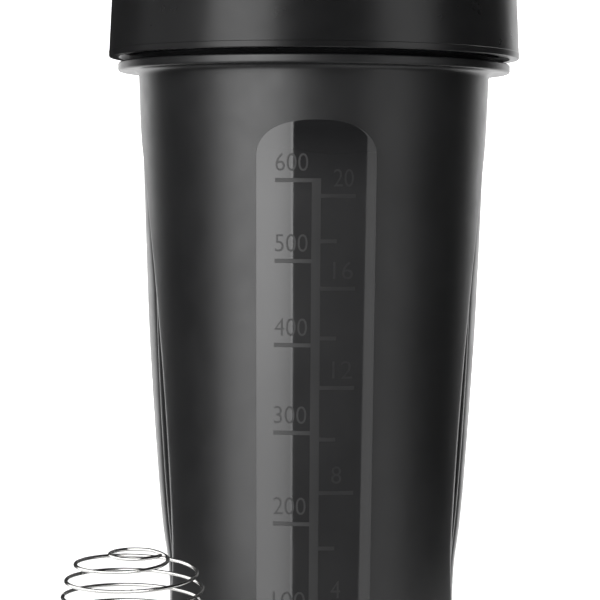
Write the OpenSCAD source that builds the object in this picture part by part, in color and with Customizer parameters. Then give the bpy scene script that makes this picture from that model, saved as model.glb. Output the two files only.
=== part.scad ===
// Protein shaker bottle: tapered cup with side grips, screw lid with drinking
// spout, hinged flip cap, swinging carry loop, and a loose wire whisk ball.
// Units are mm. The cup axis is Z, the foot stands on z = 0, the volume scale
// faces -Y, the spout is toward -X and the folded carry loop toward +X.

/* [Cup] */
// Outside radius the cup wall would have at the floor
cup_radius = 38.26; // [36:0.01:40]
// Radius gained per mm of height
cup_draft = 0.036; // [0.02:0.001:0.05]
// Wall thickness of the cup
cup_wall = 1.8; // [1.2:0.1:2.6]
// Height of the inside floor above the table
cup_floor = 3.0; // [2:0.1:5]
// Height of the mouth rim
rim_height = 175.5; // [160:0.5:190]

/* [Neck and flange] */
// Height of the top face of the flange under the lid
flange_top = 160.9; // [150:0.1:170]
// Outside radius of the flange
flange_radius = 49.2; // [48:0.1:50]
// Outside radius of the neck at the thread root
neck_radius = 46.4; // [46:0.1:46.8]
// Inside radius of the mouth
mouth_radius = 44.2; // [43.5:0.1:44.6]
// Rise of the lid thread in one turn
thread_lead = 6.0; // [4:0.5:8]

/* [Side grips] */
// Depth of a grip in the upper half
grip_depth = 0.5; // [0.3:0.05:1]
// Extra grip depth per mm squared below the middle
grip_deepen = 0.00057; // [0:0.00001:0.0008]
// Further grip depth reached near the lower end
grip_heel = 1.1; // [0:0.1:1.5]
// Half width of a grip at its widest
grip_half_width = 21.0; // [15:0.5:23]
// Height of the upper end of a grip
grip_top = 146.0; // [130:1:150]
// Height of the lower end of a grip
grip_low = 9.0; // [6:1:20]

/* [Lid] */
// Height of the lower edge of the lid skirt
skirt_low = 162.2; // [150:0.1:170]
// Outside radius of the skirt at its lower edge
skirt_radius = 51.5; // [51:0.1:54]
// Radius lost by the skirt per mm of height
skirt_draft = 0.05; // [0:0.01:0.1]
// Inside radius of the skirt at the thread root
skirt_bore = 48.4; // [48.2:0.1:49]
// Height of the shoulder of the lid
shoulder_height = 184.0; // [180:1:190]
// Height the deck reaches under the hinge
deck_height = 189.0; // [186:1:195]

/* [Spout and hinge] */
// Distance of the spout from the cup axis
spout_offset = 33.0; // [28:1:35]
// Inside radius of the spout
spout_bore = 8.5; // [6:0.5:9.5]
// Outside radius of the spout at the lip
spout_radius = 11.5; // [10:0.5:12.5]
// Height of the spout lip
spout_height = 206.0; // [200:1:212]
// Hinge pin position along X
pin_x = -6.0; // [-10:1:0]
// Height of the hinge pin
pin_height = 203.0; // [198:1:208]
// Radius of the hinge pin
pin_radius = 1.6; // [1:0.1:2.5]
// Radial play of the turning parts on the pin
pin_play = 0.06; // [0.02:0.01:0.1]

/* [Carry loop] */
// Distance from the pin to the middle of the end bar
loop_reach = 47.6; // [40:0.1:52]
// Slope of the folded loop below horizontal
loop_slope = 15.0; // [0:1:20]
// Thickness of the loop
loop_thick = 5.0; // [3:0.5:7]

/* [Whisk ball] */
// Largest radius of the coil, to the middle of the wire
whisk_radius = 16.9; // [14:0.1:18]
// Height above the middle where the coil's outline would close
whisk_reach = 22.0; // [21.8:0.1:26]
// Rise of the coil in one turn
whisk_pitch = 3.8; // [3:0.1:3.8]
// Turns of the coil between its end rings
whisk_turns = 11.4; // [8:0.1:11.4]
// Radius of the rings that close the ends
whisk_ring = 5.5; // [4:0.1:8]
// Radius of the wire
whisk_wire = 0.45; // [0.3:0.05:0.8]
// Lean of the coil toward the scale side
whisk_lean = 4.6; // [0:0.1:8]
// Position of the coil along X
whisk_x = -42.2; // [-60:0.1:-40]
// Position of the coil along Y
whisk_y = -52.5; // [-60:0.1:-45]

/* [Hidden] */
$fn = 96;
black = [0.09, 0.09, 0.10];
gloss = [0.05, 0.05, 0.055];
rubber = [0.16, 0.16, 0.17];
steel = [0.72, 0.73, 0.75];

// ---------------------------------------------------------------- helpers

function arc(cx, cy, r, a0, a1, n) = [for (i = [0:n])
    let (a = a0 + (a1 - a0) * i / n)
    [cx + r * cos(a), cy + r * sin(a)]];

function clamp01(t) = min(1, max(0, t));

function smooth(t) = clamp01(t) * clamp01(t) * (3 - 2 * clamp01(t));

function cup_r(z) = cup_radius + cup_draft * z;

// A closed skin from rings of points: rings are lists of equal length.
module skin(rings) {
    m = len(rings[0]);
    n = len(rings);
    pts = [for (ring = rings) for (p = ring) p];
    side = [for (i = [0:n - 2]) for (j = [0:m - 1]) each [
        [i * m + j, i * m + (j + 1) % m, (i + 1) * m + j],
        [(i + 1) * m + j, i * m + (j + 1) % m, (i + 1) * m + (j + 1) % m]
    ]];
    first = [for (j = [1:m - 2]) [0, j + 1, j]];
    last = [for (j = [1:m - 2]) [(n - 1) * m, (n - 1) * m + j, (n - 1) * m + j + 1]];
    polyhedron(points = pts, faces = concat(side, first, last));
}

// A thread ridge: root and crest radius, height of its middle at angle 0.
module thread_ridge(root, crest, z0, a0, a1) {
    steps = ceil((a1 - a0) / 7.5);
    function height(a) = min(1, min(a - a0, a1 - a) / 30);
    rings = [for (i = [0:steps])
        let (a = a0 + (a1 - a0) * i / steps)
        let (h = max(0.02, height(a)))
        let (r = root + (crest - root) * h)
        let (z = z0 + thread_lead * a / 360)
        let (w = 1.3 - 0.7 * h)
        [
            [root * cos(a), root * sin(a), z - 1.3],
            [r * cos(a), r * sin(a), z - w],
            [r * cos(a), r * sin(a), z + w],
            [root * cos(a), root * sin(a), z + 1.3]
        ]];
    if (crest > root) skin(rings);
    else skin([for (ring = rings) [for (k = [3:-1:0]) ring[k]]]);
}

// ---------------------------------------------------------------- cup

function grip_half(z) = z > 44
    ? grip_half_width * sqrt(max(0, 1 - pow((z - 44) / (grip_top - 44), 2)))
    : grip_half_width * sqrt(max(0, 1 - pow((44 - z) / (44 - grip_low), 2)));

function grip_fade(z) = smooth((grip_top - z) / 9) * smooth((z - grip_low) / 17);

function grip_middle(z) =
    let (below = max(0, 107 - z))
    grip_depth + grip_deepen * below * below + grip_heel * smooth((46 - z) / 17);

function grip_cut(z) = grip_middle(z) * grip_fade(z);

// Half angle of a grip seen from the axis.
function grip_angle(z) = max(8, asin(grip_half(z) / cup_r(z)));

// Angles round the cup that follow the grip edges, clockwise from +X.
grip_steps = 6;
front_steps = 11;
function quarter(z) = concat(
    [for (j = [0:grip_steps - 1]) grip_angle(z) * j / grip_steps],
    [for (j = [0:front_steps]) grip_angle(z) + (90 - grip_angle(z)) * j / front_steps]);
function around(z) = let (q = quarter(z)) let (n = len(q) - 1) concat(
    [for (j = [0:n - 1]) -q[j]],
    [for (j = [n:-1:1]) q[j] - 180],
    [for (j = [0:n - 1]) -180 - q[j]],
    [for (j = [n:-1:1]) q[j] - 360]);

// How deep the grip is at an angle from the nearest of +X and -X.
function grip_at(z, a) =
    let (off = min(abs(a), abs(a + 180), abs(a + 360)))
    let (u = off / grip_angle(z))
    grip_cut(z) * max(0, 1 - u * u);

// One ring of the cup skin at radius r and height z, with or without grips.
function cup_ring(r, z) = [for (a = around(z))
    let (q = r - grip_at(z, a))
    [q * cos(a), q * sin(a), z]];

// Heights of the rings between the foot and the neck.
function levels(n) = [for (i = [0:n])
    let (t = i / n)
    let (s = t - 0.09 * sin(360 * t))
    grip_low + (grip_top - grip_low) * s];

junction = flange_top - 3.8;

module cup_skin() {
    foot = [[29, 1.2], [30.4, 0]];
    heel = arc(cup_r(3.6) - 3.6, 3.6, 3.6, -90, 0, 5);
    wall_out = [for (z = levels(19)) [cup_r(z), z]];
    under = arc(cup_r(junction) + 1.8, junction - 0.1, 1.8, 170, 100, 4);
    rim = concat(
        arc(flange_radius - 0.6, flange_top - 1.65, 0.6, -75, 0, 3),
        arc(flange_radius - 0.6, flange_top - 0.6, 0.6, 0, 80, 4));
    neck = [
        [neck_radius, flange_top],
        [neck_radius, rim_height - 0.6],
        [neck_radius - 0.6, rim_height],
        [mouth_radius, rim_height],
        [mouth_radius, flange_top + 0.2],
        [cup_r(junction) - cup_wall, junction]
    ];
    wall_in = [for (z = levels(16)) [cup_r(z) - cup_wall, z]];
    bowl = arc(cup_r(9) - cup_wall - 6, cup_floor + 6, 6, -90, 0, 5);
    down = [for (i = [len(wall_in) - 1:-1:1]) wall_in[i]];
    inner = [for (i = [len(bowl) - 1:-1:0]) bowl[i]];
    profile = concat(foot, heel, wall_out, [[cup_r(junction), junction]], under, rim, neck, down, inner);
    skin([for (p = profile) cup_ring(p[0], p[1])]);
}

module cup() {
    color(black) {
        cup_skin();
        thread_ridge(neck_radius - 0.3, neck_radius + 1.5, flange_top + 4.4, 0, 450);
    }
}

// ---------------------------------------------------------------- lid

module lid_blank() {
    rotate_extrude() polygon(concat(
        arc(skirt_radius - 0.4, skirt_low + 0.4, 0.4, -90, 0, 3),
        arc(skirt_radius - skirt_draft * 20 - 3.2, shoulder_height - 3.2, 3.2, 0, 75, 6),
        [[30, deck_height - 1.2], [18, deck_height], [0, deck_height]],
        [
            [0, deck_height - 2.6],
            [17.5, deck_height - 2.6],
            [30, deck_height - 3.9],
            [42.6, deck_height - 6.4],
            [42.6, rim_height + 0.6],
            [43.7, rim_height + 0.6],
            [43.7, rim_height + 2.0],
            [skirt_bore, rim_height + 2.0],
            [skirt_bore, skirt_low + 1.2],
            [skirt_bore + 0.7, skirt_low]
        ]
    ));
}

module spout_tower() {
    translate([-spout_offset, 0, 0]) {
        translate([0, 0, shoulder_height])
            cylinder(r1 = 16.2, r2 = 13.8, h = spout_height - 6.2 - shoulder_height);
        translate([0, 0, spout_height - 6.2]) cylinder(r = spout_radius, h = 5.4);
        translate([0, 0, spout_height - 0.8]) cylinder(r1 = spout_radius, r2 = spout_radius - 0.8, h = 0.8);
    }
}

module hinge_ear(low, high) {
    translate([pin_x, low, pin_height]) rotate([-90, 0, 0]) cylinder(r = 5, h = high - low);
    translate([pin_x - 5, low, deck_height - 1.5]) cube([10, high - low, pin_height - deck_height + 1.5]);
}

module lid_shell() {
    color(gloss) {
        difference() {
            union() {
                lid_blank();
                spout_tower();
                hinge_ear(9.3, 14.6);
                hinge_ear(-14.6, -9.3);
                translate([pin_x, 0, deck_height - 3]) cylinder(r1 = 20.5, r2 = 17, h = 5.5);
                translate([39.0, -5, shoulder_height - 1]) cube([4.4, 10, 4.6]);
            }
            translate([-spout_offset, 0, shoulder_height - 8]) cylinder(r = spout_bore, h = 40);
            translate([pin_x, -20, pin_height]) rotate([-90, 0, 0]) cylinder(r = pin_radius, h = 40);
        }
        thread_ridge(skirt_bore + 0.3, skirt_bore - 1.5, flange_top + 2.3, 60, 420);
    }
}

module lid_gasket() {
    color(rubber) rotate_extrude() polygon([
        [43.9, rim_height + 0.05],
        [48.1, rim_height + 0.05],
        [48.1, rim_height + 1.95],
        [43.9, rim_height + 1.95]
    ]);
}

// ---------------------------------------------------------------- flip cap

module flip_cap() {
    color(gloss) difference() {
        union() {
            translate([-spout_offset, 0, 0]) rotate_extrude() polygon(concat(
                [[0, spout_height - 5.4], [13.4, spout_height - 5.4]],
                arc(11.9, spout_height + 2.4, 1.8, 0, 80, 5),
                [[0, spout_height + 5.0]]
            ));
            translate([-spout_offset, -8, spout_height + 0.6]) cube([spout_offset + pin_x, 16, 2.6]);
            translate([pin_x, -9, pin_height]) rotate([-90, 0, 0]) cylinder(r = 4.6, h = 18);
            translate([pin_x - 4.6, -8, pin_height]) cube([4.6, 16, spout_height + 3.2 - pin_height]);
            translate([-spout_offset - 16.2, -6.5, spout_height - 1.4]) cube([5, 13, 2.4]);
        }
        translate([-spout_offset, 0, spout_height - 6]) cylinder(r = spout_radius + 0.4, h = 6.3);
        translate([-spout_offset, 0, spout_height]) cylinder(r = 5.0, h = 2.4);
        translate([pin_x, -10, pin_height]) rotate([-90, 0, 0]) cylinder(r = pin_radius + pin_play, h = 20);
    }
}

module spout_seal() {
    color(rubber) translate([-spout_offset, 0, 0]) rotate_extrude() polygon([
        [0, spout_height - 3.4],
        [7.4, spout_height - 3.4],
        [8.2, spout_height - 2.4],
        [8.2, spout_height - 0.2],
        [8.4, spout_height + 0.1],
        [10.2, spout_height + 0.1],
        [10.2, spout_height + 0.3],
        [5.0, spout_height + 0.3],
        [5.0, spout_height + 2.3],
        [0, spout_height + 2.3]
    ]);
}

module hinge_pin() {
    color(steel) translate([pin_x, -19.6, pin_height]) rotate([-90, 0, 0]) cylinder(r = pin_radius, h = 39.2);
}

// ---------------------------------------------------------------- carry loop

module loop_outline(grow) {
    far = loop_reach;
    translate([0, -17 - grow]) square([far - 9, 34 + 2 * grow]);
    for (y = [-8, 8]) translate([far - 9, y]) circle(r = 9 + grow);
    translate([far - 9, -8]) square([9 + grow, 16]);
}

module carry_loop() {
    color(gloss) translate([pin_x, 0, pin_height]) rotate([0, loop_slope, 0]) difference() {
        union() {
            translate([0, 0, -loop_thick / 2]) linear_extrude(loop_thick) difference() {
                loop_outline(2.2);
                loop_outline(-2.1);
            }
            for (y = [-19.2, 14.9]) translate([0, y, 0]) rotate([-90, 0, 0]) cylinder(r = 4.8, h = 4.3);
        }
        translate([-6, -14.9, -8]) cube([20, 29.8, 16]);
        translate([0, -20, 0]) rotate([-90, 0, 0]) cylinder(r = pin_radius + pin_play, h = 40);
    }
}

// ---------------------------------------------------------------- whisk ball

// Turn 0 is the middle of the coil, and the turns below it are negative.
function whisk_outline(v) = whisk_radius * pow(1 - pow(min(1, whisk_pitch * v / whisk_reach), 4), 0.25);

function whisk_r(v) =
    let (near = whisk_turns / 2 - 0.6)
    let (body = whisk_outline(min(v, near)))
    let (hook = smooth((v - whisk_turns / 2 - 0.7) / 0.15))
    body + (whisk_ring - body) * smooth((v - near) / 0.7) + hook;

// The coil winds down clockwise seen from above.
function whisk_point(u) =
    let (a = 360 * (u - 4.3) - 90)
    let (r = whisk_r(abs(u)))
    let (h = sign(u) * whisk_pitch * min(abs(u), whisk_turns / 2))
    [r * cos(a), r * sin(a), h];

module whisk_ball() {
    end = whisk_turns / 2 + 0.85;
    steps = ceil(2 * end * 18);
    function turn(i) = -end + 2 * end * i / steps;
    function ring(u) =
        let (c = whisk_point(u))
        let (d = whisk_point(u + 0.005) - whisk_point(u - 0.005))
        let (side = cross(d / norm(d), c / norm(c)))
        let (across = side / norm(side))
        let (out = cross(across, d / norm(d)))
        [for (k = [0:5]) c + whisk_wire * (cos(60 * k) * out - sin(60 * k) * across)];
    drop = max([for (i = [0:steps])
        let (c = whisk_point(turn(i)))
        -c[1] * sin(whisk_lean) - c[2] * cos(whisk_lean)]);
    color(steel) translate([whisk_x, whisk_y, drop + whisk_wire * 1.02]) rotate([whisk_lean, 0, 0])
        skin([for (i = [0:steps]) ring(turn(i))]);
}

cup();
lid_shell();
lid_gasket();
flip_cap();
spout_seal();
hinge_pin();
carry_loop();
whisk_ball();
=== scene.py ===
import math

import bmesh
import bpy
from mathutils import Matrix, Vector


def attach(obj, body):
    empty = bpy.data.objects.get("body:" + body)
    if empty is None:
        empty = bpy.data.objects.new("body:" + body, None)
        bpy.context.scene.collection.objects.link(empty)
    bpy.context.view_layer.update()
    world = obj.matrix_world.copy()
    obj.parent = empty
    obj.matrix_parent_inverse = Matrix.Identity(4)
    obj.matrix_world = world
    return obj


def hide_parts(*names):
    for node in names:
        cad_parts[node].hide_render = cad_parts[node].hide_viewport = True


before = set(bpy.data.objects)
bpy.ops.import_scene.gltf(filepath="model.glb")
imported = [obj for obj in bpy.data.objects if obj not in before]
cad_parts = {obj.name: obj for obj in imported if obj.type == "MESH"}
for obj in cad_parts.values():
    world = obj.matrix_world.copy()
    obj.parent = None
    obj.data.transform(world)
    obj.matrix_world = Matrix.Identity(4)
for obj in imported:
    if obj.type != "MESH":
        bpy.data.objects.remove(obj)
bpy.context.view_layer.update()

MM = 0.001

# Sizes shared with the CAD model, in mm

# The cup: its outside radius at the table, the gain in radius per mm of height, and the rest
CUP_R = 38.26
DRAFT = 0.036
WALL = 1.8
FLOOR = 3.0
RIM = 175.5
FLANGE = 160.9
FLANGE_R = 49.2
# The height where the wall turns out into the flange
JUNCTION = FLANGE - 3.8
NECK_R = 46.4
MOUTH_R = 44.2
LEAD = 6.0

# The side grips: their ends, where they are widest, and half of that width
GRIP_TOP = 146.0
GRIP_MIDDLE = 44.0
GRIP_LOW = 9.0
GRIP_W = 21.0
# A grip's hollow: its depth at the top, how that grows below a height, and what the heel adds
GRIP_DEPTH = 0.5
GRIP_GROWTH = 0.00057
GROWTH_TOP = 107.0
GRIP_HEEL = 1.1
HEEL_TOP = 46.0
HEEL_SPAN = 17.0
# Heights over which the hollow fades in from below, and out at the top
FADE_LOW = 17.0
FADE_TOP = 9.0

# The lid
SKIRT_LOW = 162.2
SKIRT_R = 51.5
BORE_R = 48.4
SHOULDER = 184.0
DECK = 189.0
SPOUT_X = -33.0
SPOUT_BORE = 8.5
SPOUT_R = 11.5
SPOUT_TOP = 206.0

# The hinge: its pin, the ears that hold it, and the barrels that turn on it
PIN_X = -6.0
PIN_Z = 203.0
PIN_R = 1.6
PIN_HALF = 19.6
EAR_R = 5.0
EAR_THICK = 5.3
EAR_MIDDLE = 11.95
CAP_BARREL_R = 4.6
CAP_BARREL_HALF = 9.0
EYE_R = 4.8
EYE_INNER = 14.9
EYE_OUTER = 19.2

# The carry loop: its reach from the pin, half the distance between its arms, the radius of its bends,
# and its slope in degrees
LOOP_REACH = 47.6
LOOP_HALF = 17.05
LOOP_BEND = 9.05
LOOP_SLOPE = 15.0

# The whisk's coil. REACH is half the height at which the barrel shape would close; LEAN is in degrees
COIL_R = 16.75
COIL_REACH = 22.0
COIL_PITCH = 3.8
COIL_TURNS = 11.4
COIL_RING = 5.5
COIL_WIRE = 0.45
COIL_LEAN = 4.6
COIL_X = -42.2
COIL_Y = -52.4


# ------------------------------------------------------------------ shaders


PLASTIC_IOR = 1.49
JET = (0.006, 0.006, 0.0065)
JET_LIGHT = (0.010, 0.010, 0.0105)


def new_material(name):
    """A material with its Principled shader and its texture coordinates."""
    m = bpy.data.materials.new(name)
    m.use_nodes = True
    nt = m.node_tree
    bsdf = nt.nodes["Principled BSDF"]
    coord = nt.nodes.new("ShaderNodeTexCoord")
    return m, nt, bsdf, coord


def noise(nt, coord, scale, detail, stretch=None):
    """A noise texture on the object's own coordinates, which stretch squeezes along each axis."""
    n = nt.nodes.new("ShaderNodeTexNoise")
    n.inputs["Scale"].default_value = scale
    n.inputs["Detail"].default_value = detail
    if stretch:
        mp = nt.nodes.new("ShaderNodeMapping")
        mp.inputs["Scale"].default_value = stretch
        nt.links.new(coord.outputs["Object"], mp.inputs["Vector"])
        nt.links.new(mp.outputs["Vector"], n.inputs["Vector"])
    else:
        nt.links.new(coord.outputs["Object"], n.inputs["Vector"])
    return n


def map_range(nt, source, low, high, to_low=0.0, to_high=1.0):
    """Maps a value from one range to another; the result is held within the second."""
    node = nt.nodes.new("ShaderNodeMapRange")
    node.inputs["From Min"].default_value = low
    node.inputs["From Max"].default_value = high
    node.inputs["To Min"].default_value = to_low
    node.inputs["To Max"].default_value = to_high
    nt.links.new(source, node.inputs["Value"])
    return node


def arithmetic(nt, operation, a, b):
    """One Math node of two inputs; gives its output."""
    node = nt.nodes.new("ShaderNodeMath")
    node.operation = operation
    nt.links.new(a, node.inputs[0])
    nt.links.new(b, node.inputs[1])
    return node.outputs["Value"]


def spread(nt, source, low, high):
    """Spreads the middle of a noise's range over low to high."""
    return map_range(nt, source, 0.3, 0.7, low, high).outputs["Result"]


def bump(nt, bsdf, sources):
    """A chain of bumps, each a source with its strength and its height in metres."""
    last = None
    for source, strength, height in sources:
        b = nt.nodes.new("ShaderNodeBump")
        b.inputs["Strength"].default_value = strength
        b.inputs["Distance"].default_value = height
        nt.links.new(source, b.inputs["Height"])
        if last:
            nt.links.new(last.outputs["Normal"], b.inputs["Normal"])
        last = b
    nt.links.new(last.outputs["Normal"], bsdf.inputs["Normal"])


def tint(nt, bsdf, source, dark, light):
    """Colours a shader between dark and light by a source."""
    mix = nt.nodes.new("ShaderNodeMix")
    mix.data_type = "RGBA"
    mix.inputs[6].default_value = (*dark, 1)
    mix.inputs[7].default_value = (*light, 1)
    nt.links.new(source, mix.inputs[0])
    nt.links.new(mix.outputs[2], bsdf.inputs["Base Color"])


def plastic(name, dark, light, rough, rough_var, grain, grain_height, waves):
    """Moulded plastic: colour drift, uneven gloss, moulded grain and slow waviness."""
    m, nt, bsdf, coord = new_material(name)
    slow = noise(nt, coord, 45.0, 3.0)
    tint(nt, bsdf, spread(nt, slow.outputs["Fac"], 0.0, 1.0), dark, light)
    cloud = noise(nt, coord, 160.0, 6.0)
    gloss = spread(nt, cloud.outputs["Fac"], rough - rough_var, rough + rough_var)
    nt.links.new(gloss, bsdf.inputs["Roughness"])
    bsdf.inputs["IOR"].default_value = PLASTIC_IOR
    fine = noise(nt, coord, grain, 3.0)
    bump(nt, bsdf, [(slow.outputs["Fac"], waves, 0.0004), (fine.outputs["Fac"], 0.35, grain_height)])
    return m


def metal(name, colour, rough, stretch, scale, depth):
    """Drawn or ground metal: fine lines along it that vary its colour, its gloss and its surface."""
    m, nt, bsdf, coord = new_material(name)
    lines = noise(nt, coord, scale, 4.0, stretch)
    tint(nt, bsdf, spread(nt, lines.outputs["Fac"], 0.0, 1.0), [c * 0.86 for c in colour], colour)
    nt.links.new(spread(nt, lines.outputs["Fac"], rough * 0.6, rough * 1.5), bsdf.inputs["Roughness"])
    bsdf.inputs["Metallic"].default_value = 1.0
    bump(nt, bsdf, [(lines.outputs["Fac"], depth, 0.00003)])
    return m


def paint_top_shade(material, low, high, share, colour):
    """Fades a material to a colour between two heights on the object, in metres, by the share at the top,
    which paints shade into its colour.
    """
    nt = material.node_tree
    height = nt.nodes.new("ShaderNodeSeparateXYZ")
    nt.links.new(nt.nodes["Texture Coordinate"].outputs["Object"], height.inputs["Vector"])
    fade = map_range(nt, height.outputs["Z"], low, high, 0.0, share)
    mix = nt.nodes.new("ShaderNodeMix")
    mix.data_type = "RGBA"
    mix.inputs[7].default_value = (*colour, 1)
    nt.links.new(fade.outputs["Result"], mix.inputs[0])
    base = nt.nodes["Principled BSDF"].inputs["Base Color"]
    nt.links.new(base.links[0].from_socket, mix.inputs[6])
    nt.links.new(mix.outputs[2], base)


CUP_BLACK = plastic(
    "cup_matt", dark=(0.0065, 0.0065, 0.007), light=(0.0095, 0.0095, 0.010), rough=0.40,
    rough_var=0.03, grain=5200.0, grain_height=0.00003, waves=0.05,
)
NECK_BLACK = plastic(
    "neck_gloss", dark=JET, light=JET_LIGHT, rough=0.12,
    rough_var=0.02, grain=2600.0, grain_height=0.000002, waves=0.03,
)
PANEL = plastic(
    "panel_gloss", dark=(0.019, 0.019, 0.0195), light=(0.024, 0.024, 0.0245), rough=0.06,
    rough_var=0.015, grain=2600.0, grain_height=0.0000015, waves=0.04,
)
# Painted shade: the panel's colour fades towards jet black near its top, which makes the top the darkest part
# of it
paint_top_shade(PANEL, low=0.128, high=0.143, share=0.8, colour=JET)
MARK = plastic(
    "scale_mark", dark=(0.012, 0.012, 0.0125), light=(0.016, 0.016, 0.0165), rough=0.46,
    rough_var=0.04, grain=5200.0, grain_height=0.00002, waves=0.03,
)
LID_BLACK = plastic(
    "lid_gloss", dark=JET, light=JET_LIGHT, rough=0.30,
    rough_var=0.03, grain=2600.0, grain_height=0.000004, waves=0.05,
)
LOOP_BLACK = plastic(
    "loop_gloss", dark=JET, light=(0.011, 0.011, 0.0115), rough=0.27,
    rough_var=0.04, grain=2600.0, grain_height=0.000005, waves=0.05,
)
SEAL = plastic(
    "seal_rubber", dark=(0.020, 0.020, 0.022), light=(0.034, 0.034, 0.036), rough=0.55,
    rough_var=0.06, grain=3600.0, grain_height=0.00003, waves=0.05,
)
PIN_STEEL = metal(
    "pin_steel",
    colour=(0.60, 0.60, 0.62), rough=0.24, stretch=(1.0, 0.08, 1.0), scale=900.0, depth=0.12,
)
WIRE = metal(
    "whisk_wire",
    colour=(0.82, 0.81, 0.79), rough=0.20, stretch=(1.0, 1.0, 0.35), scale=260.0, depth=0.04,
)


# ------------------------------------------------------------------ meshes


# A corner wider than this many degrees is left as it is
NEARLY_STRAIGHT = 178


def mesh_object(name, verts, faces, material, sharp=40.0):
    """A smooth-shaded mesh from points in mm."""
    me = bpy.data.meshes.new(name)
    me.from_pydata([(x * MM, y * MM, z * MM) for x, y, z in verts], [], faces)
    ob = bpy.data.objects.new(name, me)
    bpy.context.scene.collection.objects.link(ob)
    bm = bmesh.new()
    bm.from_mesh(me)
    bmesh.ops.remove_doubles(bm, verts=bm.verts, dist=1e-7)
    bmesh.ops.recalc_face_normals(bm, faces=bm.faces)
    bm.to_mesh(me)
    bm.free()
    finish_mesh(ob, material, sharp)
    return ob


def finish_mesh(ob, material, sharp):
    """Gives a mesh its one material and smooth shading, with edges sharper than so many degrees left hard."""
    me = ob.data
    me.materials.clear()
    me.materials.append(material)
    for p in me.polygons:
        p.material_index = 0
        p.use_smooth = True
    me.set_sharp_from_angle(angle=math.radians(sharp))


def loft(name, rings, material, sharp=40.0, loop=False):
    """A skin over closed rings of points. Loop joins the last ring to the first, or both ends are capped."""
    m = len(rings[0])
    n = len(rings)
    verts = [p for ring in rings for p in ring]
    faces = []
    for i in range(n if loop else n - 1):
        k = (i + 1) % n
        for j in range(m):
            q = (j + 1) % m
            faces.append((i * m + j, i * m + q, k * m + q, k * m + j))
    if not loop:
        faces.append(tuple(range(m - 1, -1, -1)))
        faces.append(tuple((n - 1) * m + j for j in range(m)))
    return mesh_object(name, verts, faces, material, sharp)


def grid_faces(rows, cols):
    """The quads of a sheet whose points run along cols first; both counts are of quads."""
    m = cols + 1
    faces = []
    for i in range(rows):
        for j in range(cols):
            faces.append((i * m + j, i * m + j + 1, (i + 1) * m + j + 1, (i + 1) * m + j))
    return faces


def arc(cx, cy, r, a0, a1, n):
    """Points on a circle from angle a0 to a1, in degrees, in n steps."""
    angles = [math.radians(a0 + (a1 - a0) * i / n) for i in range(n + 1)]
    return [(cx + r * math.cos(a), cy + r * math.sin(a)) for a in angles]


def fillet(points, n):
    """Rounds the corners of an outline in n steps each; a point is (x, y) or (x, y, radius)."""
    out = []
    count = len(points)
    for i, p in enumerate(points):
        if len(p) < 3 or p[2] <= 0:
            out.append((p[0], p[1]))
            continue
        corner = Vector(p[:2])
        a = Vector(points[i - 1][:2]) - corner
        b = Vector(points[(i + 1) % count][:2]) - corner
        angle = a.angle(b)
        if angle > math.radians(NEARLY_STRAIGHT):
            out.append((p[0], p[1]))
            continue
        cut = min(p[2] / math.tan(angle / 2), 0.49 * a.length, 0.49 * b.length)
        r = cut * math.tan(angle / 2)
        start = corner + a.normalized() * cut
        end = corner + b.normalized() * cut
        centre = corner + (a.normalized() + b.normalized()).normalized() * (r / math.sin(angle / 2))
        a0 = math.atan2(start.y - centre.y, start.x - centre.x)
        sweep = math.atan2(end.y - centre.y, end.x - centre.x) - a0
        sweep = (sweep + math.pi) % (2 * math.pi) - math.pi
        for k in range(n + 1):
            t = a0 + sweep * k / n
            out.append((centre.x + r * math.cos(t), centre.y + r * math.sin(t)))
    return out


def lathe(name, profile, material, steps=160, centre=(0.0, 0.0), sharp=40.0):
    """A closed (r, z) outline turned round a vertical axis."""
    rings = []
    for i in range(steps):
        a = 2 * math.pi * i / steps
        rings.append([(centre[0] + r * math.cos(a), centre[1] + r * math.sin(a), z) for r, z in profile])
    return loft(name, rings, material, sharp, loop=True)


def prism(name, outline, depth, place, material, round_edge):
    """An outline in its own XY plane, thickened along Z by depth and put in place by a matrix in mm."""
    area = sum(a[0] * b[1] - b[0] * a[1] for a, b in zip(outline, outline[1:] + outline[:1]))
    if area < 0:
        outline = outline[::-1]
    half = depth / 2
    rings = []
    for k in range(4):
        t = math.radians(90 * k / 3)
        ring = inset_outline(outline, round_edge * (1 - math.sin(t)))
        rings.append((ring, -half + round_edge * (1 - math.cos(t))))
    rings += [(ring, -z) for ring, z in rings[::-1]]
    verts = [[tuple(place @ Vector((x, y, z))) for x, y in ring] for ring, z in rings]
    return loft(name, verts, material)


def inset_outline(outline, d):
    """Moves each point of a counter-clockwise outline inwards by d."""
    if d <= 0:
        return list(outline)
    out = []
    n = len(outline)
    for i in range(n):
        p = Vector(outline[i])
        a = (p - Vector(outline[i - 1])).normalized()
        b = (Vector(outline[(i + 1) % n]) - p).normalized()
        na = Vector((-a.y, a.x))
        nb = Vector((-b.y, b.x))
        k = na + nb
        k = k * (d / max(0.35, k.dot(na)))
        out.append((p.x + k.x, p.y + k.y))
    return out


def carve(ob, cutter):
    """Cuts one mesh out of another; the cutter is used up."""
    mod = ob.modifiers.new("carve", "BOOLEAN")
    mod.operation = "DIFFERENCE"
    mod.solver = "EXACT"
    mod.object = cutter
    bpy.context.view_layer.update()
    dg = bpy.context.evaluated_depsgraph_get()
    me = bpy.data.meshes.new_from_object(ob.evaluated_get(dg))
    material = ob.data.materials[0]
    ob.modifiers.clear()
    ob.data = me
    bpy.data.objects.remove(cutter)
    finish_mesh(ob, material, 32.0)
    return ob


# ------------------------------------------------------------------ cup


def smooth(t):
    """Runs from 0 to 1 with level ends as t does."""
    t = min(1.0, max(0.0, t))
    return t * t * (3 - 2 * t)


def cup_r(z):
    """The cup's outside radius at a height, before the grips are pressed in."""
    return CUP_R + DRAFT * z


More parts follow.
